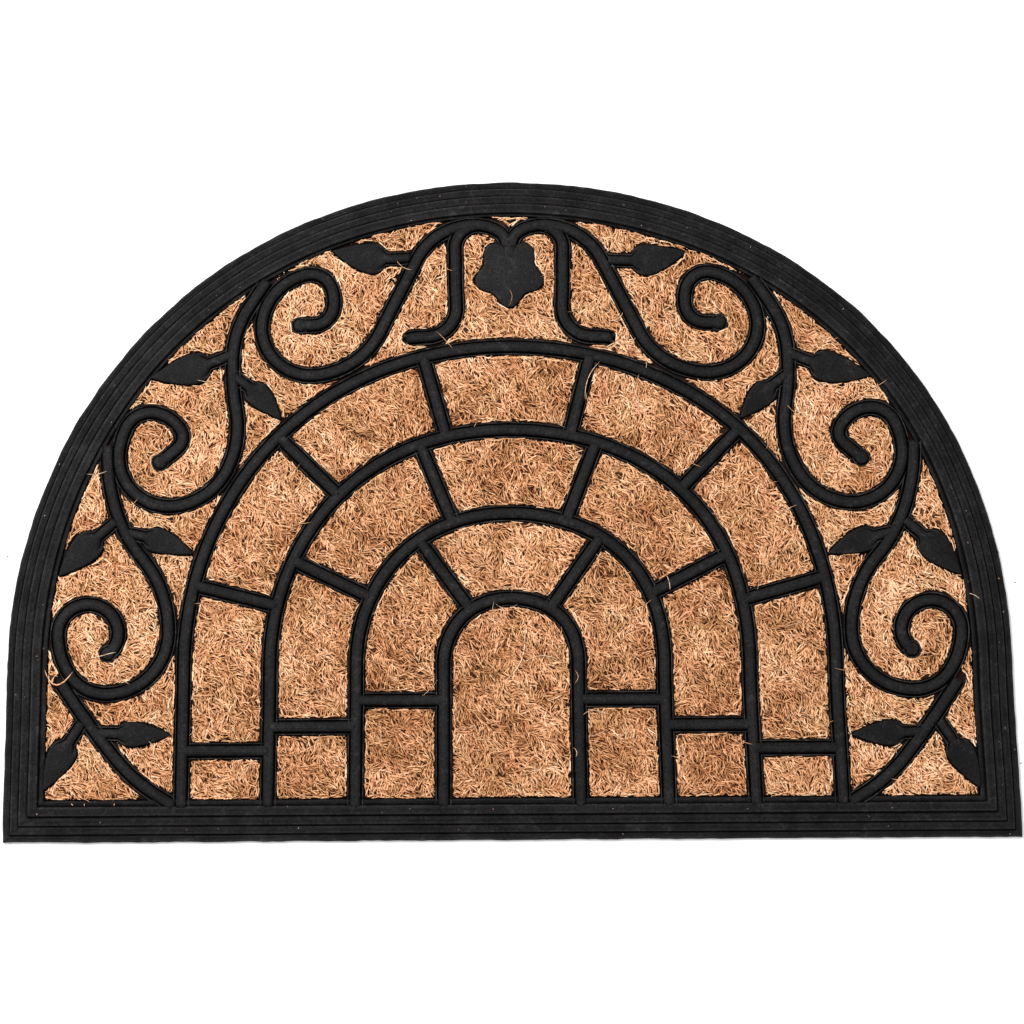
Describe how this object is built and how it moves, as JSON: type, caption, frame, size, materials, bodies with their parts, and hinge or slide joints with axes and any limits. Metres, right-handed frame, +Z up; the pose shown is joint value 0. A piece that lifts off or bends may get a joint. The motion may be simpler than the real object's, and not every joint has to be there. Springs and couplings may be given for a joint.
{
  "type": "half-round coir doormat",
  "caption": "Half-round doormat: woven coir panel held in a moulded black rubber grille of arches, scrolls, leaves and a flower, with a sloped stepped border.",
  "frame": {"origin": "middle of the mat's bounding box, on the floor", "axes": "+X along the straight base edge, +Y from the base towards the crown of the arch, +Z up from the floor"},
  "size_m": [0.6, 0.4, 0.008],
  "materials": {
    "rubber": "matte moulded black rubber",
    "coir": "rough woven coconut fibre, natural tan"
  },
  "bodies": {
    "root": {"rubber_moulding": "rubber", "coir_panel": "coir"}
  },
  "joints": []
}
